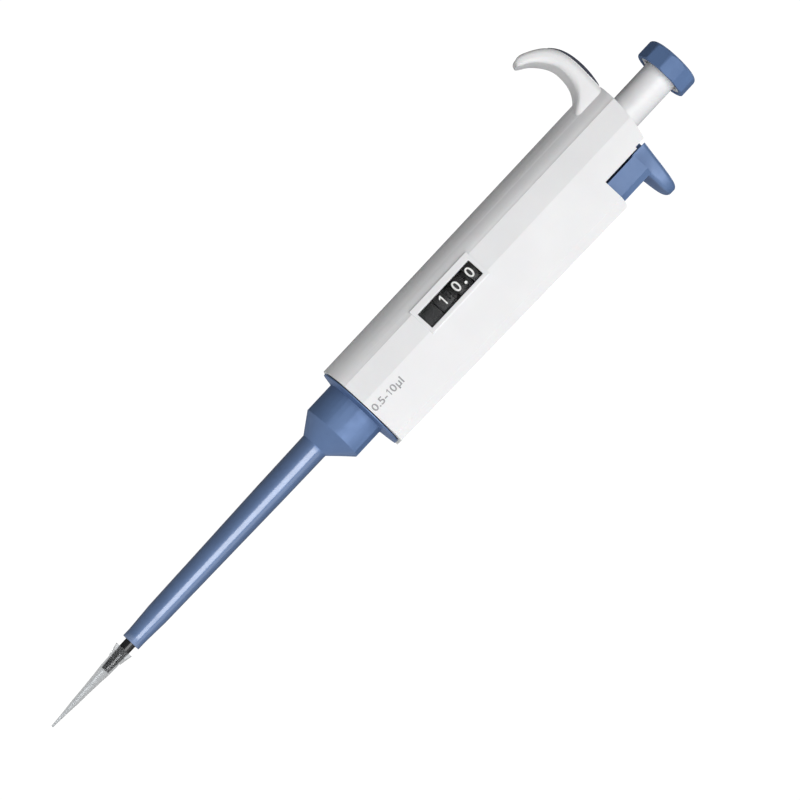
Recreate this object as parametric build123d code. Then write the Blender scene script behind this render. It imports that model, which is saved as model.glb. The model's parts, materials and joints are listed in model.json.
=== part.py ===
"""Adjustable 0.5-10 ul micropipette, upright, tip down.

Frame: +Z runs up the pipette's axis, the origin is the orifice of the disposable tip, -X is the
finger-hook side, +X the tip-ejector side and -Y the side with the volume display. Millimetres.
"""
from build123d import *
import math
import os

# ---- driving dimensions -------------------------------------------------------------------
# handle
BODY_R = 12.65            # cylindrical back of the handle
HALF_DEPTH = 12.6         # flat sides of the handle, +Y and -Y
HANDLE_Z0 = 128.0
TAPER_Z1 = 244.0          # height that the leaning front and its corners are given at
FRONT_X0 = 17.35          # front of the handle, at its foot and at TAPER_Z1
FRONT_X1 = 19.45
CREASE_X0 = 15.0          # where the chamfered corners start
CREASE_X1 = 16.25
NOTCH_Z = 222.6           # floor of the notch that the ejector column drops into
NOTCH_X = 9.55
CAVITY_R = 11.1
CAVITY_X = 16.2
CAVITY_HALF_Y = 6.6
CAVITY_TOP = 220.0
NECK_R = 7.5              # bore of the neck above the cavity
HOOK_WIDTH = 17.5
HOOK_EDGE = 2.0           # rounding of the hook's edges
# stations of the hook from root to tip: point under it, point on top of it, width
HOOK_STATIONS = [
    ((-5.0, 229.5), (-5.0, 242.3), HOOK_WIDTH),
    ((-9.3, 231.0), (-9.3, 242.6), HOOK_WIDTH),
    ((-12.6, 235.0), (-13.9, 242.9), HOOK_WIDTH),
    ((-16.4, 237.8), (-17.4, 243.1), HOOK_WIDTH),
    ((-20.6, 238.6), (-21.2, 243.1), HOOK_WIDTH),
    ((-24.3, 238.1), (-26.2, 242.2), HOOK_WIDTH - 0.3),
    ((-27.7, 236.1), (-30.2, 239.5), HOOK_WIDTH - 1.0),
    ((-30.3, 233.4), (-32.9, 235.4), HOOK_WIDTH - 2.6),
    ((-31.5, 231.4), (-33.8, 232.6), HOOK_WIDTH - 5.0),
    ((-32.1, 230.9), (-33.3, 231.4), HOOK_WIDTH - 7.0),
]
PAD_HALF_Y = 6.1          # half width of the pad in the hook
# volume display
FACE_TILT = 8.0           # degrees that the display facet leans towards -X
FACE_DIST = 12.2          # axis to display facet
BEZEL_X0 = -4.6           # bezel and its opening, along the facet and in height
BEZEL_X1 = 4.8
BEZEL_Z0 = 156.4
BEZEL_Z1 = 180.3
OPEN_X0 = -2.35
OPEN_X1 = 3.45
OPEN_Z0 = 157.5
OPEN_Z1 = 179.05
DRUM_R = 10.4
DRUM_PITCH = 5.6
TENTHS_Z = 177.2
ONES_Z = TENTHS_Z - DRUM_PITCH
TENS_Z = ONES_Z - DRUM_PITCH
BLANK_Z = TENS_Z - DRUM_PITCH
DRUM_HALF = 2.65
# carry gears
MODULE = 0.6
RING_TEETH = 33
PINION_TEETH = 6
RING_TIP = 10.3
RING_ROOT = 9.15
PINION_TIP = 2.2
PINION_ROOT = 1.05
TOOTH = 0.62              # tooth thickness, less than half the pitch so that the mesh is free
GEAR_X = MODULE * (RING_TEETH + PINION_TEETH) / 2
PIN_R = 0.6
# plunger
ROD_R = 1.5
PISTON_R = 0.565          # 1 mm of travel moves 1 ul
STEM_R = 5.3
SLEEVE_R = 3.5
RUN = 0.08                # radial clearance of a running fit
GAP = 0.3                 # clearance between parts that only pass each other
# ejector
TUBE_WALL = 0.65
SLEEVE_TOP = 127.7
FLARE_Z = 126.7            # where the sleeve's head starts to spread into its flange
RIM_Z = 127.35             # underside of the flange's rim
ROD_X0 = 14.6
ROD_X1 = 15.8
FOOT_X0 = 11.6
FOOT_X1 = 12.8
STRIP_HALF_Y = 3.0
EJECT_SPRING_X = 12.6
EJECT_SPRING_Y = 8.0
EJECT_SPRING_Z0 = 190.0
COLUMN_Z0 = 214.0
COLUMN_Z1 = 234.2
LEVER_EDGE = 1.4          # rounding of the thumb lever
# stations of the lever from the column to its nose
LEVER_STATIONS = [
    ((9.95, 232.6), (9.95, 239.7), 16.6),
    ((14.0, 232.8), (14.0, 239.0), 16.6),
    ((18.5, 233.3), (18.5, 238.3), 16.2),
    ((21.5, 233.5), (21.5, 237.85), 14.6),
    ((23.8, 233.75), (23.9, 237.45), 11.5),
    ((25.2, 234.3), (25.3, 236.9), 7.5),
    ((25.7, 235.0), (25.7, 236.3), 5.0),
]
RAIL_X = 8.95             # guide rail on the column's back, which runs in a groove of the handle
RAIL_HALF_Y = 2.6


# ---- helpers ------------------------------------------------------------------------------
def ring(r_out, r_in, z0, z1, x=0.0, y=0.0):
    """Upright tube, or a plain cylinder when r_in is 0."""
    solid = Pos(x, y, (z0 + z1) / 2) * Cylinder(r_out, z1 - z0)
    if r_in > 0:
        solid -= Pos(x, y, (z0 + z1) / 2) * Cylinder(r_in, z1 - z0 + 2)
    return solid


def block(x0, x1, y0, y1, z0, z1):
    """Box by its limits."""
    return Pos((x0 + x1) / 2, (y0 + y1) / 2, (z0 + z1) / 2) * Box(x1 - x0, y1 - y0, z1 - z0)


def turned(points):
    """Solid of revolution from (radius, z) corners."""
    return revolve(make_face(Plane.XZ * Polyline(*points, close=True)), Axis.Z)


def slab(outline, half_y):
    """Closed outline in X and Z, given as edges, made a slab from -half_y to half_y."""
    return extrude(make_face(Plane.XZ * outline), half_y, both=True)


def prism(points, z0, z1):
    """Polygon in X and Y, extruded from z0 to z1."""
    return extrude(Pos(0, 0, z0) * make_face(Polyline(*points, close=True)), z1 - z0)


def mirrored(points):
    """Adds the +Y mirror image to half an outline that is listed on its -Y side."""
    return points + [(x, -y) for x, y in reversed(points)]


def coil(radius, wire, z0, z1, turns, x=0.0, y=0.0):
    """Helical compression spring between z0 and z1."""
    bottom = z0 + wire
    height = z1 - z0 - 2 * wire
    path = Pos(x, y, bottom) * Helix(height / turns, height, radius)
    section = Plane(path @ 0, z_dir=path % 0) * Circle(wire)
    return sweep(section, path)


def rounded_loft(stations, edge):
    """Loft of rounded rectangles, each given by its lower point, its upper point and its width."""
    sections = []
    for under, top, width in stations:
        across = Vector(top[0] - under[0], 0, top[1] - under[1])
        middle = ((under[0] + top[0]) / 2, 0, (under[1] + top[1]) / 2)
        plane = Plane(origin=middle, x_dir=(0, 1, 0), z_dir=across.cross(Vector(0, 1, 0)))
        radius = min(edge, 0.42 * across.length)
        sections.append(plane * RectangleRounded(width, across.length, radius))
    return loft(sections)


def toothed(root, tip, teeth, thickness, z0, z1, x=0.0, phase=0.0):
    """Spur wheel with straight teeth and rounded-off tips."""
    wheel = Pos(0, 0, (z0 + z1) / 2) * Cylinder(root, z1 - z0)
    tooth = block(root - 0.3, tip - 0.2, -thickness / 2, thickness / 2, z0, z1)
    tooth += block(tip - 0.3, tip, -thickness / 3.2, thickness / 3.2, z0, z1)
    for i in range(teeth):
        wheel += Rot(0, 0, phase + 360 * i / teeth) * tooth
    return Pos(x, 0, 0) * wheel


def facet_frame(distance):
    """Plane of the display facet at a distance from the axis: local x along it, local y up."""
    tilt = math.radians(FACE_TILT)
    normal = (-math.sin(tilt), -math.cos(tilt), 0)
    along = (math.cos(tilt), -math.sin(tilt), 0)
    return Plane(origin=(distance * normal[0], distance * normal[1], 0), x_dir=along, z_dir=normal)


def on_facet(u0, u1, z0, z1, d0, d1):
    """Box on the display facet between two distances from the axis."""
    centre = Pos((u0 + u1) / 2, (z0 + z1) / 2, (d1 - d0) / 2)
    return facet_frame(d0) * centre * Box(u1 - u0, z1 - z0, d1 - d0)


# ---- handle -------------------------------------------------------------------------------
def chamfer_cut():
    """Wedge that takes off one long front corner of the handle, on the display side."""
    run = CREASE_X1 - CREASE_X0
    rise = TAPER_Z1 - HANDLE_Z0
    plane = Plane(origin=(CREASE_X0, -HALF_DEPTH, HANDLE_Z0), z_dir=(rise, -rise, -run))
    return plane * Pos(0, 0, 20) * Box(400, 400, 40)


def flat_sides():
    """Front part of the handle: display facets, flat sides, chamfered corners, leaning front."""
    half = [(-5.17, -11.6), (2.0, -HALF_DEPTH), (FRONT_X1, -HALF_DEPTH)]
    body = prism(mirrored(half), HANDLE_Z0, TAPER_Z1)
    ahead = Polyline((FRONT_X0, HANDLE_Z0), (FRONT_X1, TAPER_Z1), (40, TAPER_Z1), (40, HANDLE_Z0), close=True)
    body -= slab(ahead, 20)
    return body - chamfer_cut() - mirror(chamfer_cut(), about=Plane.XZ)


def above_top(lift):
    """Everything above the handle's sloping top, raised by lift."""
    top = Spline((-14, 243.0 + lift), (-5.3, 242.3 + lift), (5.4, 240.7 + lift), (9.9, 239.3 + lift))
    rim = Polyline((9.9, 239.3 + lift), (30, 239.3 + lift), (30, 260), (-14, 260), (-14, 243.0 + lift))
    return slab(top + rim, 20)


def insert_outline():
    """Soft pad let into the top of the hook."""
    outer = Spline((-10.8, 243.0), (-14.2, 243.8), (-20.2, 244.15), (-25.6, 243.1), (-29.3, 240.6))
    inner = Spline((-29.3, 240.6), (-25.0, 241.5), (-20.2, 242.2), (-14.5, 242.0), (-10.8, 241.7))
    return outer + inner + Line((-10.8, 241.7), (-10.8, 243.0))


def cap_blank(lift):
    """Top cap: a plate that follows the sloping top of the handle."""
    plate = ring(10.5, 0, 236, 250) - block(8.1, 20, -20, 20, 230, 255)
    lowered = Pos(0, 0, -1.3) * above_top(0)
    return (plate & lowered) - above_top(lift)


def cavity_outline(z0, z1, shrink=0.0):
    """Main cavity of the handle: a round well for the drums and a channel for the ejector rod."""
    well = ring(CAVITY_R - shrink, 0, z0, z1)
    half_y = CAVITY_HALF_Y - shrink
    return well + block(0, CAVITY_X - shrink, -half_y, half_y, z0, z1)


def column_outline(z0, z1, grow=0.0):
    """Ejector column in plan, with chamfered outer corners."""
    half = [(10.3 - grow, -10.8 - grow), (15.7, -10.8 - grow), (17.4 + grow, -9.1)]
    return prism(mirrored(half), z0, z1)


def handle_shell():
    back = ring(BODY_R, 0, HANDLE_Z0, TAPER_Z1) - block(-5.17, 20, -20, 20, 120, 250)
    shell = back + flat_sides() + rounded_loft(HOOK_STATIONS, HOOK_EDGE)
    shell -= above_top(0) & block(-12.9, 30, -20, 20, 230, 262)
    notch = Polyline((17.5, NOTCH_Z), (NOTCH_X, NOTCH_Z), (NOTCH_X, 236), (9.0, 236), (9.0, 260), (30, 260),
                     (30, NOTCH_Z - 1.7), (19.2, NOTCH_Z - 1.7))
    shoulder = ThreePointArc((19.2, NOTCH_Z - 1.7), (18.7, NOTCH_Z - 0.45), (17.5, NOTCH_Z))
    shell -= slab(notch + shoulder, 20)
    shell -= cavity_outline(HANDLE_Z0 - 1, CAVITY_TOP)
    shell -= ring(NECK_R, 0, CAVITY_TOP - 1, 250)
    shell -= column_outline(COLUMN_Z0 - 7.6, 240, GAP)
    shell -= ring(2.3, 0, EJECT_SPRING_Z0, COLUMN_Z0, EJECT_SPRING_X, EJECT_SPRING_Y)
    shell -= on_facet(BEZEL_X0, BEZEL_X1, BEZEL_Z0, BEZEL_Z1, 11.0, 14)
    shell -= on_facet(OPEN_X0, OPEN_X1, OPEN_Z0, OPEN_Z1, 8.0, 14)
    shell -= block(RAIL_X - GAP, 12, -RAIL_HALF_Y - GAP, RAIL_HALF_Y + GAP, COLUMN_Z0 - 7.6, 262)
    shell -= block(16, 20, -2.5, 2.5, 135.8, 138.6)
    shell -= cap_blank(5)
    shell -= slab(insert_outline(), PAD_HALF_Y)
    return shell


def window_bezel():
    frame = on_facet(BEZEL_X0, BEZEL_X1, BEZEL_Z0, BEZEL_Z1, 11.2, 12.42)
    return frame - on_facet(OPEN_X0, OPEN_X1, OPEN_Z0, OPEN_Z1, 11, 13)


def base_plate():
    plate = cavity_outline(129, 132, 0.05) - ring(6.9, 0, 120, 140)
    return plate - block(FOOT_X0 - GAP, FOOT_X1 + GAP, -STRIP_HALF_Y - GAP, STRIP_HALF_Y + GAP, 120, 140)


def frame_plate(z0, z1, bore):
    """Plate of the counter frame, with an ear towards +X that holds the carry pinions."""
    plate = ring(10.9, 0, z0, z1) + block(0, 13.6, -5.9, 5.9, z0, z1)
    return plate - ring(bore, 0, z0 - 1, z1 + 1) - ring(PIN_R, 0, z0 - 1, z1 + 1, GEAR_X)


def counter_frame():
    frame = frame_plate(150, 153.8, 2.4)
    for y in (-5.0, 5.0):
        frame += block(11.6, 13.6, y - 0.9, y + 0.9, 153, 184)
        frame -= ring(0.5, 0, 180, 185, 12.6, y)
    return frame


def frame_top_plate():
    plate = frame_plate(184, 187, SLEEVE_R + RUN)
    for y in (-5.0, 5.0):
        plate -= ring(0.5, 0, 183, 188, 12.6, y)
    return plate


def frame_screws():
    screws = []
    for y in (-5.0, 5.0):
        head = ring(1.2, 0, 187, 188.1, 12.6, y) - block(12.4, 12.8, y - 2, y + 2, 187.7, 189)
        screws.append(head + ring(0.5, 0, 180.2, 187, 12.6, y))
    return Compound(children=screws)


def nut_guide():
    """Tube with two keyways that stop the stroke nut from turning."""
    guide = ring(8.6, 6.7, 187, 216)
    return guide - block(-1.3, 1.3, -7.8, 7.8, 188.5, 217)


def spring_housing():
    """Cup that holds the plunger spring, with the socket of the nozzle shaft below it."""
    cup = turned([(0, 115), (4.8, 115), (6.8, 118), (6.8, 136), (0, 136)])
    cup -= ring(5.2, 0, 119, 137)
    cup -= ring(2.4, 0, 116.5, 120)
    return cup - ring(0.9, 0, 114, 117)


def coupling_nut():
    nut = prism([(9.6 * math.cos(math.radians(a)), 9.6 * math.sin(math.radians(a)))
                 for a in range(0, 360, 60)], 132.1, 135.6)
    return nut - ring(6.85, 0, 130, 140)


def nozzle_shaft():
    outer = [(0, 22.1), (1.25, 22.1), (1.72, 28.5), (1.8, 30.0), (1.8, 33.0), (2.6, 110.0), (2.9, 113.0),
             (4.2, 113.0), (4.2, 115.0), (0, 115.0)]
    shaft = turned(outer)
    shaft -= ring(0.35, 0, 20, 40)
    shaft -= ring(0.62, 0, 38, 116)
    return shaft - ring(2.2, 0, 108, 116)


# ---- counter ------------------------------------------------------------------------------
def drum(centre_z, bore, has_ring, has_recess):
    """Digit drum, with a ring of gear teeth above its face and a recess for carry lobes below."""
    low = centre_z - DRUM_HALF
    high = centre_z + DRUM_HALF
    face_low = low + 1.45 if has_recess else low
    face_high = high - 1.45 if has_ring else high
    body = ring(DRUM_R, 0, face_low, face_high)
    if has_recess:
        body += ring(7.6, 0, low, face_low)
        for a in (-11, 11):
            body += Rot(0, 0, a) * block(7.0, RING_ROOT, -0.5, 0.5, low, face_low)
    if has_ring:
        body += ring(RING_ROOT, 0, face_high, high - 1.15)
        body += toothed(RING_ROOT, RING_TIP, RING_TEETH, TOOTH, high - 1.15, high, 0, 180 / RING_TEETH)
    return body - ring(bore, 0, low - 1, high + 1)


def carry_pinion(ring_drum_z):
    z0 = ring_drum_z + DRUM_HALF - 1.15
    wheel = toothed(PINION_ROOT, PINION_TIP, PINION_TEETH, TOOTH, z0, z0 + 2.6, GEAR_X, 180)
    return wheel - ring(PIN_R + RUN, 0, z0 - 1, z0 + 4, GEAR_X)


def pinion_spacers():
    tens_low = TENS_Z + DRUM_HALF - 1.15
    ones_low = ONES_Z + DRUM_HALF - 1.15
    spans = [(153.8, tens_low - GAP), (tens_low + 2.6 + GAP, ones_low - GAP), (ones_low + 2.6 + GAP, 184)]
    return Compound(children=[ring(1.0, PIN_R, low, high, GEAR_X) for low, high in spans])


def screw_sleeve():
    """Turning sleeve: it carries the tenths drum and its thread lifts the stroke nut."""
    return ring(SLEEVE_R, ROD_R + RUN, 154.6, 236)


def stroke_nut():
    nut = ring(6.4, SLEEVE_R + RUN, 190, 198)
    lugs = block(-1.0, 1.0, -7.5, 7.5, 190, 198) - ring(5.0, 0, 180, 200)
    return nut + lugs


# ---- plunger ------------------------------------------------------------------------------
def plunger_rod():
    rod = ring(ROD_R, 0, 148.5, 257)
    return rod + ring(4.6, 0, 148.5, 149.9)


def piston_holder():
    return ring(2.0, 0, 130, 148.5) - ring(PISTON_R, 0, 129, 134)


def rod_screw():
    head = ring(2.6, 0, 257, 258.6)
    return head - block(-0.4, 0.4, -3, 3, 258, 259)


def dial_stem():
    stem = ring(STEM_R, 0, 224, 262.5)
    stem -= ring(4.0, 0, 223, 252)
    stem -= ring(ROD_R + RUN, 0, 250, 258)
    return stem - ring(3.2, 0, 257, 263)


def decagon(radius, z0, z1):
    """Knob outline: ten flats, one corner 46 degrees to the -X side of the display."""
    turn = [math.radians(-90 - 46 + 36 * i) for i in range(10)]
    return prism([(radius * math.cos(a), radius * math.sin(a)) for a in turn], z0, z1)


def knob_cap():
    """Ten-sided cup whose upper and lower rims are rounded off to circles."""
    cap = decagon(8.9, 258, 264.5)
    cap = fillet(cap.edges().filter_by(Axis.Z), 1.1)
    envelope = ring(8.9, 0, 258, 264.5)
    envelope = fillet(envelope.faces().sort_by(Axis.Z)[-1].edges(), 1.7)
    envelope = fillet(envelope.faces().sort_by(Axis.Z)[0].edges(), 0.7)
    return (cap & envelope) - ring(7.4, 0, 257, 262.5)


def knob_ring():
    return ring(7.4, 6.1, 258.4, 262.5)


# ---- ejector ------------------------------------------------------------------------------
def oval(left, right, half_depth, z):
    """Plan of the sleeve's head: round on the hook side, chamfered nose on the ejector side."""
    crease = (right * 0.89, half_depth * 0.7)
    nose = (right, half_depth * 0.45)
    swell = (right * 0.52, half_depth * 0.955)
    back = ThreePointArc((0, half_depth), (-left, 0), (0, -half_depth))
    near = ThreePointArc((0, -half_depth), (swell[0], -swell[1]), (crease[0], -crease[1]))
    front = Polyline((crease[0], -crease[1]), (nose[0], -nose[1]), nose, crease)
    far = ThreePointArc(crease, swell, (0, half_depth))
    return Pos(0, 0, z) * make_face(back + near + front + far)


def round_section(radius, z):
    return Pos(0, 0, z) * Circle(radius)


def sleeve_blank(shrink):
    """Head of the ejector sleeve, outer form or, shrunk, its inside."""
    neck = loft([round_section(4.35 - min(shrink, TUBE_WALL), 110.5), oval(8.5 - shrink, 11.0 - shrink,
                8.6 - shrink, 116.7)])
    head = extrude(oval(8.5 - shrink, 11.0 - shrink, 8.6 - shrink, 116.7), SLEEVE_TOP - 116.7)
    return neck + head


def ejector_sleeve():
    radii = [(3.0, 33.0), (3.0, 35.7), (3.22, 40.0), (3.45, 44.0), (3.66, 57.5), (3.91, 75.0), (4.17, 92.0),
             (4.35, 110.5)]
    inside = [(r - TUBE_WALL, z) for r, z in reversed(radii)]
    tube = turned(radii + inside)
    flare = loft([oval(8.9, 11.05, 8.9, FLARE_Z), oval(11.9, 16.5, 11.9, RIM_Z)])
    rim = extrude(oval(11.9, 16.5, 11.9, RIM_Z), SLEEVE_TOP - RIM_Z)
    head = sleeve_blank(0) + flare + rim
    head -= sleeve_blank(1.0)
    return tube + head


def ejector_rod():
    foot = block(FOOT_X0, FOOT_X1, -STRIP_HALF_Y, STRIP_HALF_Y, SLEEVE_TOP, 143.5)
    jog = block(FOOT_X0, ROD_X1, -STRIP_HALF_Y, STRIP_HALF_Y, 142.3, 143.5)
    strip = block(ROD_X0, ROD_X1, -STRIP_HALF_Y, STRIP_HALF_Y, 142.3, 232)
    return foot + jog + strip


def ejector_button():
    """Thumb lever on a chamfered column."""
    lever = rounded_loft(LEVER_STATIONS, LEVER_EDGE)
    column = column_outline(COLUMN_Z0, COLUMN_Z1)
    column -= block(11.8, 15.9, -5.2, 5.2, COLUMN_Z0 - 1, 232)
    rail = block(RAIL_X, 10.6, -RAIL_HALF_Y, RAIL_HALF_Y, COLUMN_Z0, 239.1)
    return column + lever + rail


# ---- tip ----------------------------------------------------------------------------------
def pipette_tip():
    outer = [(0.33, 0), (0.36, 0.9), (0.62, 5.3), (0.98, 9.6), (1.2, 14.0), (1.49, 18.3), (1.88, 22.7),
             (1.93, 26.2), (2.18, 26.3), (2.93, 30.2)]
    inner = [(2.6, 30.2), (1.75, 28.5), (1.28, 22.1), (0.98, 18.3), (0.55, 9.6), (0.2, 0)]
    return turned(outer + inner)


# ---- assembly -----------------------------------------------------------------------------
NODES = {
    "handle_shell": handle_shell,
    "top_cap": lambda: cap_blank(0.2) - ring(5.8, 0, 230, 250),
    "hook_insert": lambda: slab(insert_outline(), PAD_HALF_Y),
    "window_bezel": window_bezel,
    "window_lens": lambda: on_facet(OPEN_X0, OPEN_X1, OPEN_Z0, OPEN_Z1, 11.25, 11.85),
    "base_plate": base_plate,
    "coupling_nut": coupling_nut,
    "spring_housing": spring_housing,
    "nozzle_shaft": nozzle_shaft,
    "piston_seal": lambda: ring(2.2, PISTON_R + 0.035, 108, 110.4),
    "seal_o_ring": lambda: Pos(0, 0, 111.0) * Torus(1.55, 0.6),
    "seal_retainer": lambda: ring(2.2, 0.9, 111.65, 115),
    "blowout_spring": lambda: coil(6.3, 0.4, 136.0, 142.0, 4),
    "blowout_washer": lambda: ring(7.6, 5.0, 142.0, 143.0),
    "counter_frame": counter_frame,
    "frame_top_plate": frame_top_plate,
    "frame_screws": frame_screws,
    "guide_bush": lambda: ring(2.4, ROD_R + RUN, 150.2, 153.8),
    "thrust_washer": lambda: ring(3.8, ROD_R + 0.3, 153.8, 154.3),
    "pinion_shaft": lambda: ring(PIN_R, 0, 150, 187, GEAR_X),
    "pinion_spacers": pinion_spacers,
    "drum_spacer": lambda: ring(DRUM_R, SLEEVE_R + GAP, 154.8, BLANK_Z + DRUM_HALF),
    "nut_guide": nut_guide,
    "stem_bushing": lambda: ring(NECK_R, STEM_R + RUN, 222, 236),
    "friction_ring": lambda: ring(7.3, STEM_R + 0.05, 236, 237.4),
    "ejector_spring": lambda: coil(1.5, 0.35, EJECT_SPRING_Z0, COLUMN_Z0, 11, EJECT_SPRING_X, EJECT_SPRING_Y),
    "plunger_spring": lambda: coil(3.9, 0.45, 119.0, 148.5, 12),
    "plunger_rod": plunger_rod,
    "piston_holder": piston_holder,
    "piston": lambda: ring(PISTON_R, 0, 52, 134),
    "rod_screw": rod_screw,
    "dial_stem": dial_stem,
    "knob_cap": knob_cap,
    "knob_ring": knob_ring,
    "screw_sleeve": screw_sleeve,
    "tenths_drum": lambda: drum(TENTHS_Z, SLEEVE_R, False, True),
    "ones_drum": lambda: drum(ONES_Z, SLEEVE_R + RUN, True, True),
    "tens_drum": lambda: drum(TENS_Z, SLEEVE_R + RUN, True, False),
    "ones_pinion": lambda: carry_pinion(ONES_Z),
    "tens_pinion": lambda: carry_pinion(TENS_Z),
    "stroke_nut": stroke_nut,
    "ejector_button": ejector_button,
    "ejector_rod": ejector_rod,
    "ejector_sleeve": ejector_sleeve,
    "pipette_tip": pipette_tip,
}

os.makedirs("parts", exist_ok=True)
for name, make in NODES.items():
    export_step(make(), f"parts/{name}.step")
    print("wrote", name)
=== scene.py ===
"""Looks of the adjustable micropipette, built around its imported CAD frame.

Lengths below are millimetres unless a name ends in _m or _M; MM turns them into Blender's metres.
"""
import json
import math

import bmesh
import bpy
from mathutils import Matrix, Vector


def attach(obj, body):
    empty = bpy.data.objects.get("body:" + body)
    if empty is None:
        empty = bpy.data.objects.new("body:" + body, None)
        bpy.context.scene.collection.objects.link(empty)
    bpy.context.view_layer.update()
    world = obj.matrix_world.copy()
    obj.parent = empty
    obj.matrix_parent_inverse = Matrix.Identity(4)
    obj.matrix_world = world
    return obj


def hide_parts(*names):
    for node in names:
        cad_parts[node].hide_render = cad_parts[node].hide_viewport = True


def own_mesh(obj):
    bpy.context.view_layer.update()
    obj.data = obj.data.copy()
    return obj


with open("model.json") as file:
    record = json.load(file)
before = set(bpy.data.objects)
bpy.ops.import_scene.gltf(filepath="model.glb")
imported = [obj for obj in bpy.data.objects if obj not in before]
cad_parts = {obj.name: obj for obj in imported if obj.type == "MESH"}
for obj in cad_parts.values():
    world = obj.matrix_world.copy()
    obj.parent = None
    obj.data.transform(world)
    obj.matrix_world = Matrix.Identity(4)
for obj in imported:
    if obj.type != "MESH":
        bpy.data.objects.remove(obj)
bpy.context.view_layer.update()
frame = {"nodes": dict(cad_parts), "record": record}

MM = 0.001
# camera: level with the tip, far off, rolled so that the pipette leans to the right
AIM = (9.07, 0.0, 137.1)
CAMERA_DISTANCE = 1556.0
CAMERA_ELEVATION = -5.07
CAMERA_ROLL = 43.0
LENS = 242.3
# display
FACE_TILT = 8.0
DRUM_R = 10.4
DRUM_PITCH = 5.6
TENTHS_Z = 177.2
DIGIT_DROP = 0.35         # the print sits a little low on each drum
DRUMS = {"tenths": TENTHS_Z, "ones": TENTHS_Z - DRUM_PITCH, "tens": TENTHS_Z - 2 * DRUM_PITCH}
READING = {"tenths": 0, "ones": 0, "tens": 1}
DIGIT_ANGLE = 36.0        # ten digits round a drum
DIGIT_HEIGHT = 3.3
DIGIT_EDGE = 0.8          # longest edge of a digit's mesh, so that it bends round the drum
DOT_RADIUS = 0.48
DOT_REACH = 11.2          # decimal point: distance from the axis, along the facet, height
DOT_ASIDE = 1.45
DOT_Z = 173.95
PRINT_LIFT = 0.03         # prints stand this far off their surface
# volume range, printed up the flat side of the handle
FLAT_SIDE_Y = -12.6
RANGE_X = 5.25
RANGE_HEIGHT = 2.15
# springs
COIL_STEPS = 40           # rings of the mesh in each turn
COIL_SIDES = 12
DEAD_TURNS = 0.8          # closed turns at each end, and the wire radii that they climb
DEAD_RISE = 1.6
# coil radius, wire radius, lower end, upper end, turns
PLUNGER_SPRING = (3.9, 0.45, 119.0, 148.5, 12)
EJECTOR_SPRING = (1.5, 0.35, 190.0, 214.0, 11)
EJECTOR_SPRING_PLACE = (12.6, 8.0)
BLOWOUT_SPRING = (6.3, 0.4, 136.0, 142.0, 4)
# the sleeve's tube is polished below this height
POLISH_EDGE_M = 0.1105
POLISH_FADE_M = 0.0015
# stage
WORLD_DIM = 0.13          # strength of the world as a light, and as the camera sees it
WORLD_SEEN = 1.05
WORLD_THROUGH = 0.4       # share of the difference that shows through clear pieces
LIGHT_TARGET_M = (0, 0, 0.15)
# place, width and height in metres, then watts
LIGHTS = {
    "key": ((0.44, -0.97, 0.35), 0.85, 0.9, 10.4),
    "side": ((0.95, -0.35, 0.2), 0.5, 0.9, 1.1),
    "top": ((0.2, -0.3, 1.3), 0.6, 0.6, 0.5),
    "back": ((0.1, 0.7, 1.0), 0.5, 0.5, 3.0),
}
FLOOR_RADIUS_M = 0.5
FLOOR_TOP_M = -0.035

# rounding of the edges that the CAD leaves sharp
SOFT_EDGES = {
    "handle_shell": 0.3, "top_cap": 0.25, "knob_cap": 0.25, "window_bezel": 0.2,
    "ejector_button": 0.35, "ejector_sleeve": 0.2, "hook_insert": 0.25,
}
SOFT_ANGLE = 25.0         # edges that turn more than this many degrees are rounded
WELD_M = 0.000002


# ---- meshes -------------------------------------------------------------------------------
def mesh_object(name, points, faces, smooth=True):
    """Mesh from points in millimetres."""
    mesh = bpy.data.meshes.new(name)
    mesh.from_pydata([Vector(p) * MM for p in points], [], faces)
    mesh.update()
    if smooth:
        mesh.polygons.foreach_set("use_smooth", [True] * len(mesh.polygons))
    piece = bpy.data.objects.new(name, mesh)
    bpy.context.scene.collection.objects.link(piece)
    return piece


def skin(rings):
    """Points and quads through rings of equal length."""
    count = len(rings[0])
    points = [p for ring in rings for p in ring]
    faces = []
    for i in range(len(rings) - 1):
        a = i * count
        b = a + count
        for j in range(count):
            k = (j + 1) % count
            faces.append((a + j, a + k, b + k, b + j))
    return points, faces


def coil(name, radius, wire, z0, z1, turns, x=0.0, y=0.0):
    """Compression spring with closed ends, as a mesh."""
    steps = turns * COIL_STEPS
    low, high = z0 + wire, z1 - wire
    centres = []
    for i in range(steps + 1):
        t = i / steps
        along = min(max((t * turns - DEAD_TURNS) / (turns - 2 * DEAD_TURNS), 0.0), 1.0)
        closed = min(t * turns, DEAD_TURNS) + max(t * turns - turns + DEAD_TURNS, 0.0)
        a = 2 * math.pi * turns * t
        z = low + wire * DEAD_RISE * closed / DEAD_TURNS + (high - low - 2 * wire * DEAD_RISE) * along
        centres.append(Vector((x + radius * math.cos(a), y + radius * math.sin(a), z)))
    rings = []
    for i, centre in enumerate(centres):
        ahead = centres[min(i + 1, steps)] - centres[max(i - 1, 0)]
        out = Vector((centre.x - x, centre.y - y, 0)).normalized()
        up = ahead.normalized().cross(out)
        angles = [2 * math.pi * k / COIL_SIDES for k in range(COIL_SIDES)]
        rings.append([tuple(centre + wire * (math.cos(a) * out + math.sin(a) * up)) for a in angles])
    points, faces = skin(rings)
    faces.append(tuple(range(COIL_SIDES)))
    faces.append(tuple(reversed(range(len(points) - COIL_SIDES, len(points)))))
    return mesh_object(name, points, faces)


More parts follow.
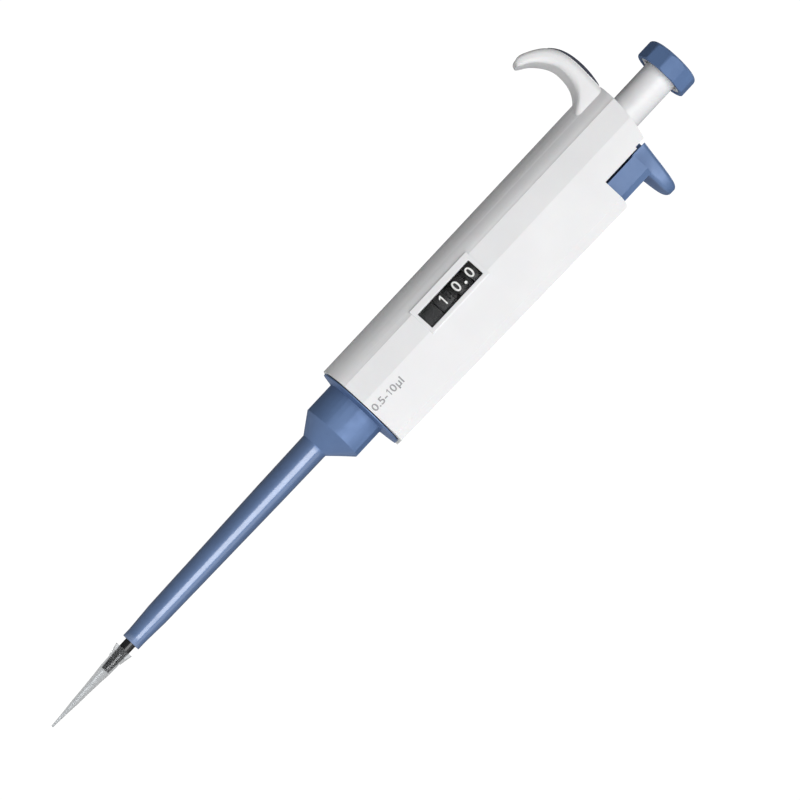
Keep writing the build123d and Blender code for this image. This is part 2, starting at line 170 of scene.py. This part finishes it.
def soften(node, width):
    """Rounds the sharp edges of a CAD node without touching its mesh."""
    piece = frame["nodes"][node]
    weld = piece.modifiers.new("weld", "WELD")
    weld.merge_threshold = WELD_M
    bevel = piece.modifiers.new("soft_edges", "BEVEL")
    bevel.width = width * MM
    bevel.segments = 3
    bevel.limit_method = "ANGLE"
    bevel.angle_limit = math.radians(SOFT_ANGLE)
    bevel.use_clamp_overlap = True
    bevel.harden_normals = True


# ---- materials ----------------------------------------------------------------------------
class Shader:
    """A Principled material with object coordinates to hang procedural detail on."""

    def __init__(self, name):
        self.material = bpy.data.materials.new(name)
        self.material.use_nodes = True
        self.tree = self.material.node_tree
        self.bsdf = self.tree.nodes["Principled BSDF"]
        self.coords = self.tree.nodes.new("ShaderNodeTexCoord").outputs["Object"]

    def link(self, a, b):
        self.tree.links.new(a, b)

    def noise(self, scale, detail, stretch):
        """Noise of a size given in features per metre."""
        mapping = self.tree.nodes.new("ShaderNodeMapping")
        mapping.inputs["Scale"].default_value = stretch
        node = self.tree.nodes.new("ShaderNodeTexNoise")
        node.inputs["Scale"].default_value = scale
        node.inputs["Detail"].default_value = detail
        self.link(self.coords, mapping.inputs["Vector"])
        self.link(mapping.outputs["Vector"], node.inputs["Vector"])
        return node.outputs["Fac"]

    def ramp(self, value, low, high):
        """Colours or greys between two levels of noise."""
        node = self.tree.nodes.new("ShaderNodeValToRGB")
        stops = node.color_ramp.elements
        stops[0].position, stops[1].position = 0.35, 0.65
        stops[0].color = (*low, 1) if isinstance(low, tuple) else (low, low, low, 1)
        stops[1].color = (*high, 1) if isinstance(high, tuple) else (high, high, high, 1)
        self.link(value, node.inputs["Fac"])
        return node.outputs["Color"]

    def colour(self, low, high, scale, stretch=(1, 1, 1)):
        tint = self.ramp(self.noise(scale, 3.0, stretch), low, high)
        self.link(tint, self.bsdf.inputs["Base Color"])

    def roughness(self, low, high, scale, stretch=(1, 1, 1)):
        grey = self.ramp(self.noise(scale, 5.0, stretch), low, high)
        self.link(grey, self.bsdf.inputs["Roughness"])

    def bump(self, scale, height_m, strength, stretch=(1, 1, 1)):
        node = self.tree.nodes.new("ShaderNodeBump")
        node.inputs["Distance"].default_value = height_m
        node.inputs["Strength"].default_value = strength
        self.link(self.noise(scale, 4.0, stretch), node.inputs["Height"])
        self.link(node.outputs["Normal"], self.bsdf.inputs["Normal"])

    def set(self, **values):
        for key, value in values.items():
            self.bsdf.inputs[key.replace("_", " ")].default_value = value
        return self


def white_plastic():
    s = Shader("white_plastic").set(Specular_IOR_Level=0.5, Subsurface_Weight=0.06, Subsurface_Scale=0.002)
    s.colour((0.80, 0.80, 0.81), (0.83, 0.83, 0.838), 60)
    s.roughness(0.34, 0.42, 300)
    s.bump(5200, 0.00001, 0.25)
    return s.material


def blue_plastic(name, sheen, rough):
    """Satin blue; sheen is the share of it that gleams in its own colour."""
    s = Shader(name).set(Metallic=sheen, Specular_IOR_Level=1.0)
    s.colour((0.098, 0.172, 0.345), (0.108, 0.190, 0.375), 90)
    s.roughness(rough, rough + 0.07, 350)
    s.bump(4200, 0.00001, 0.3)
    return s


def polished_below(s, edge_m):
    """Adds a clear gloss to the part of a piece that lies below a height."""
    height = s.tree.nodes.new("ShaderNodeSeparateXYZ")
    level = s.tree.nodes.new("ShaderNodeMapRange")
    level.inputs["From Min"].default_value = edge_m - POLISH_FADE_M
    level.inputs["From Max"].default_value = edge_m
    level.inputs["To Min"].default_value = 1.0
    level.inputs["To Max"].default_value = 0.0
    s.link(s.coords, height.inputs["Vector"])
    s.link(height.outputs["Z"], level.inputs["Value"])
    s.link(level.outputs["Result"], s.bsdf.inputs["Coat Weight"])
    return s.set(Coat_Roughness=0.16, Coat_IOR=1.8)


def navy_pad():
    s = Shader("navy_pad")
    s.colour((0.010, 0.013, 0.035), (0.018, 0.024, 0.055), 400)
    s.roughness(0.45, 0.6, 600)
    s.bump(3000, 0.00003, 0.5)
    return s.material


def black_polymer():
    s = Shader("black_polymer").set(Coat_Weight=0.3, Coat_Roughness=0.08)
    s.colour((0.008, 0.008, 0.009), (0.016, 0.016, 0.018), 300)
    s.roughness(0.16, 0.26, 500)
    s.bump(2500, 0.000006, 0.2, stretch=(1, 1, 0.1))
    return s.material


def black_drum():
    s = Shader("black_drum")
    s.colour((0.010, 0.010, 0.011), (0.020, 0.020, 0.022), 300)
    s.roughness(0.42, 0.55, 700)
    s.bump(5000, 0.00001, 0.3)
    return s.material


def print_ink(name, low, high):
    s = Shader(name).set(Specular_IOR_Level=0.3)
    s.colour(low, high, 900)
    s.roughness(0.5, 0.65, 900)
    s.bump(4000, 0.000004, 0.3)
    return s.material


def frame_plastic():
    s = Shader("frame_plastic")
    s.colour((0.30, 0.31, 0.33), (0.38, 0.39, 0.41), 150)
    s.roughness(0.4, 0.55, 400)
    s.bump(3000, 0.00002, 0.4)
    return s.material


def metal(name, low, high, stretch):
    s = Shader(name).set(Metallic=1.0)
    s.colour(low, high, 500, stretch=stretch)
    s.roughness(0.2, 0.38, 900, stretch=stretch)
    s.bump(3500, 0.000006, 0.35, stretch=stretch)
    return s.material


def seal_polymer():
    s = Shader("seal_polymer").set(Subsurface_Weight=0.2, Subsurface_Scale=0.001)
    s.colour((0.66, 0.62, 0.52), (0.74, 0.71, 0.62), 300)
    s.roughness(0.35, 0.5, 500)
    s.bump(3000, 0.00001, 0.3)
    return s.material


def black_rubber():
    s = Shader("black_rubber")
    s.colour((0.012, 0.012, 0.012), (0.022, 0.022, 0.022), 400)
    s.roughness(0.6, 0.75, 800)
    s.bump(3500, 0.00002, 0.4)
    return s.material


def clear_window():
    s = Shader("clear_window").set(Transmission_Weight=1.0, IOR=1.2)
    s.colour((0.96, 0.98, 0.98), (1.0, 1.0, 1.0), 200)
    s.roughness(0.0, 0.03, 500)
    s.bump(900, 0.000004, 0.1)
    return s.material


def clear_tip():
    s = Shader("clear_tip").set(Transmission_Weight=1.0, IOR=1.22)
    s.set(Coat_Weight=0.5, Coat_Roughness=0.06, Coat_IOR=1.6)
    s.colour((0.90, 0.92, 0.935), (0.95, 0.965, 0.975), 200, stretch=(1, 1, 0.2))
    s.roughness(0.02, 0.06, 400, stretch=(1, 1, 0.2))
    s.bump(300, 0.00001, 0.15, stretch=(1, 1, 0.1))
    return s.material


MATERIALS = {
    "white_plastic": white_plastic(),
    "blue_plastic": blue_plastic("blue_plastic", 0.25, 0.5).material,
    "navy_pad": navy_pad(),
    "clear_window": clear_window(),
    "black_polymer": black_polymer(),
    "black_drum": black_drum(),
    "frame_plastic": frame_plastic(),
    "steel": metal("steel", (0.50, 0.50, 0.51), (0.62, 0.62, 0.63), (1, 1, 0.1)),
    "brass": metal("brass", (0.58, 0.42, 0.17), (0.70, 0.54, 0.25), (1, 1, 4)),
    "seal_polymer": seal_polymer(),
    "black_rubber": black_rubber(),
    "clear_tip": clear_tip(),
}
DIGIT_INK = print_ink("digit_ink", (0.82, 0.82, 0.80), (0.92, 0.92, 0.90))
BLUES = {
    "ejector_sleeve": polished_below(blue_plastic("sleeve_blue", 0.45, 0.5), POLISH_EDGE_M).material,
    "knob_cap": blue_plastic("knob_blue", 0.15, 0.62).set(Specular_IOR_Level=0.55).material,
}
RANGE_INK = print_ink("range_ink", (0.30, 0.30, 0.31), (0.38, 0.38, 0.39))


def dress(piece, body, slot, material=None, node=None):
    """Gives a piece its body and either the material given or that of its slot, and hides the CAD node
    that it stands for.
    """
    piece.data.materials.clear()
    piece.data.materials.append(material or MATERIALS[slot])
    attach(piece, body)
    if node:
        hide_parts(node)


def dress_nodes():
    """Every carried-over CAD node takes the procedural material of its slot, or its own blue."""
    for entry in frame["record"]["subparts"]:
        node = frame["nodes"][entry["node"]]
        for place in node.material_slots:
            place.link = "OBJECT"
            place.material = BLUES.get(entry["node"], MATERIALS[entry["material_slot"]])


def soften_edges():
    for node, width in SOFT_EDGES.items():
        soften(node, width)


# ---- prints -------------------------------------------------------------------------------
def glyphs(name, text, height, length=None):
    """Flat lettering as a mesh in millimetres: x along the line, y up, centred on its digits."""
    curve = bpy.data.curves.new(name, "FONT")
    curve.body = text
    curve.size = 1.0
    curve.resolution_u = 6
    curve.offset = 0.012
    source = bpy.data.objects.new(name, curve)
    bpy.context.scene.collection.objects.link(source)
    bpy.context.view_layer.update()
    mesh = bpy.data.meshes.new_from_object(source.evaluated_get(bpy.context.evaluated_depsgraph_get()))
    bpy.data.objects.remove(source)
    low_x = min(v.co.x for v in mesh.vertices)
    high_x = max(v.co.x for v in mesh.vertices)
    top = max(v.co.y for v in mesh.vertices)
    size_y = height / top
    size_x = length / (high_x - low_x) if length else size_y
    for v in mesh.vertices:
        v.co = Vector(((v.co.x - (low_x + high_x) / 2) * size_x, (v.co.y - top / 2) * size_y, 0))
    piece = bpy.data.objects.new(name, mesh)
    bpy.context.scene.collection.objects.link(piece)
    return piece


def subdivide(mesh, longest):
    """Splits long edges so that the mesh can bend round a drum."""
    work = bmesh.new()
    work.from_mesh(mesh)
    for _ in range(3):
        long_edges = [e for e in work.edges if e.calc_length() > longest]
        if not long_edges:
            break
        bmesh.ops.subdivide_edges(work, edges=long_edges, cuts=1)
        bmesh.ops.triangulate(work, faces=work.faces)
    work.to_mesh(mesh)
    work.free()


def figure_one(name, scale=1.0):
    """The figure 1 with a flag, as a mesh in millimetres."""
    half = DIGIT_HEIGHT / 2
    outline = [(0.05, -half), (0.48, -half), (0.48, half), (0.15, half), (-0.58, half - 0.62),
               (-0.58, half - 1.06), (0.05, half - 0.72)]
    mesh = bpy.data.meshes.new(name)
    mesh.from_pydata([(x * scale, y * scale, 0) for x, y in outline], [], [tuple(range(len(outline)))])
    piece = bpy.data.objects.new(name, mesh)
    bpy.context.scene.collection.objects.link(piece)
    return piece


def drum_digit(body, centre_z, digit, reading):
    """One white digit, bent round its drum, with its top towards the hook side."""
    name = f"{body}_digit_{digit}"
    piece = figure_one(name) if digit == 1 else glyphs(name, str(digit), DIGIT_HEIGHT)
    subdivide(piece.data, DIGIT_EDGE)
    facing = math.radians(-90 - FACE_TILT - DIGIT_ANGLE * (digit - reading))
    for v in piece.data.vertices:
        along, up = v.co.x, v.co.y
        a = facing - up / DRUM_R
        r = DRUM_R + PRINT_LIFT
        v.co = Vector((r * math.cos(a), r * math.sin(a), centre_z - DIGIT_DROP + along)) * MM
    dress(piece, body, "black_drum", DIGIT_INK)


def range_print():
    """The volume range, reading up the flat side of the handle: pieces and their middles' heights."""
    pieces = [(glyphs("range_low", "0.5-", RANGE_HEIGHT, 5.7), 131.55),
              (figure_one("range_one", RANGE_HEIGHT / DIGIT_HEIGHT), 135.4),
              (glyphs("range_high", "0µl", RANGE_HEIGHT * 1.04, 4.5), 138.6)]
    for piece, middle in pieces:
        for v in piece.data.vertices:
            v.co = Vector((RANGE_X - v.co.y, FLAT_SIDE_Y - PRINT_LIFT, middle + v.co.x)) * MM
        dress(piece, "handle", "white_plastic", RANGE_INK)


def decimal_point():
    """White dot just behind the window, between the ones and the tenths."""
    tilt = math.radians(FACE_TILT)
    out = Vector((-math.sin(tilt), -math.cos(tilt), 0))
    along = Vector((math.cos(tilt), -math.sin(tilt), 0))
    centre = out * DOT_REACH + along * DOT_ASIDE + Vector((0, 0, DOT_Z))
    rim = [centre + DOT_RADIUS * (math.cos(a) * along + math.sin(a) * Vector((0, 0, 1)))
           for a in [2 * math.pi * i / 24 for i in range(24)]]
    dot = mesh_object("decimal_point", [tuple(p) for p in rim], [tuple(range(24))], smooth=False)
    dress(dot, "handle", "black_drum", DIGIT_INK)


def display():
    for body, centre_z in DRUMS.items():
        for digit in range(10):
            drum_digit(body, centre_z, digit, READING[body])
    decimal_point()
    range_print()


# ---- springs ------------------------------------------------------------------------------
def springs():
    plunger = coil("plunger_spring_coil", *PLUNGER_SPRING)
    dress(plunger, "handle", "steel", node="plunger_spring")
    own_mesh(plunger)
    ejector = coil("ejector_spring_coil", *EJECTOR_SPRING, *EJECTOR_SPRING_PLACE)
    dress(ejector, "handle", "steel", node="ejector_spring")
    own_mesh(ejector)
    blowout = coil("blowout_spring_coil", *BLOWOUT_SPRING)
    dress(blowout, "handle", "steel", node="blowout_spring")


# ---- stage --------------------------------------------------------------------------------
def camera():
    aim = Vector(AIM) * MM
    elevation = math.radians(CAMERA_ELEVATION)
    away = Vector((0, -math.cos(elevation), math.sin(elevation)))
    data = bpy.data.cameras.new("camera")
    data.lens = LENS
    data.sensor_width = 36.0
    data.clip_end = 20.0
    holder = bpy.data.objects.new("camera", data)
    look = (-away).to_track_quat("-Z", "Y").to_matrix()
    roll = Matrix.Rotation(math.radians(CAMERA_ROLL), 3, "Z")
    holder.matrix_world = Matrix.Translation(aim + away * CAMERA_DISTANCE * MM) @ (look @ roll).to_4x4()
    bpy.context.scene.collection.objects.link(holder)
    bpy.context.scene.camera = holder


def area_light(name, place, width, height, watts):
    data = bpy.data.lights.new(name, "AREA")
    data.shape = "RECTANGLE"
    data.size, data.size_y = width, height
    data.energy = watts
    light = bpy.data.objects.new(name, data)
    light.location = place
    light.rotation_euler = (Vector(LIGHT_TARGET_M) - Vector(place)).to_track_quat("-Z", "Y").to_euler()
    bpy.context.scene.collection.objects.link(light)


def surroundings():
    """White to the camera, dim as a light, and in between through clear pieces."""
    world = bpy.data.worlds.new("studio")
    world.use_nodes = True
    tree = world.node_tree
    background = tree.nodes["Background"]
    path = tree.nodes.new("ShaderNodeLightPath")
    through = tree.nodes.new("ShaderNodeMath")
    through.operation = "MULTIPLY"
    through.inputs[1].default_value = WORLD_THROUGH
    seen = tree.nodes.new("ShaderNodeMath")
    seen.operation = "MAXIMUM"
    level = tree.nodes.new("ShaderNodeMapRange")
    level.inputs["To Min"].default_value = WORLD_DIM
    level.inputs["To Max"].default_value = WORLD_SEEN
    tree.links.new(path.outputs["Is Camera Ray"], seen.inputs[0])
    tree.links.new(path.outputs["Is Transmission Ray"], through.inputs[0])
    tree.links.new(through.outputs["Value"], seen.inputs[1])
    tree.links.new(seen.outputs["Value"], level.inputs["Value"])
    tree.links.new(level.outputs["Result"], background.inputs["Strength"])
    background.inputs["Color"].default_value = (1, 1, 1, 1)
    bpy.context.scene.world = world


def studio():
    surroundings()
    bpy.context.scene.view_settings.view_transform = "Standard"
    for name, (place, width, height, watts) in LIGHTS.items():
        area_light(name, place, width, height, watts)


def floor():
    """Pale disc under the pipette."""
    steps = 96
    angles = [2 * math.pi * i / steps for i in range(steps)]
    rim = [(FLOOR_RADIUS_M * math.cos(a), FLOOR_RADIUS_M * math.sin(a), FLOOR_TOP_M) for a in angles]
    mesh = bpy.data.meshes.new("floor")
    mesh.from_pydata(rim, [], [tuple(range(steps))])
    piece = bpy.data.objects.new("floor", mesh)
    bpy.context.scene.collection.objects.link(piece)
    s = Shader("pale_floor").set(Emission_Color=(1, 1, 1, 1), Emission_Strength=0.3)
    s.colour((0.86, 0.86, 0.86), (0.90, 0.90, 0.90), 3)
    s.roughness(0.7, 0.8, 20)
    mesh.materials.append(s.material)


dress_nodes()
soften_edges()
display()
springs()
camera()
studio()
floor()
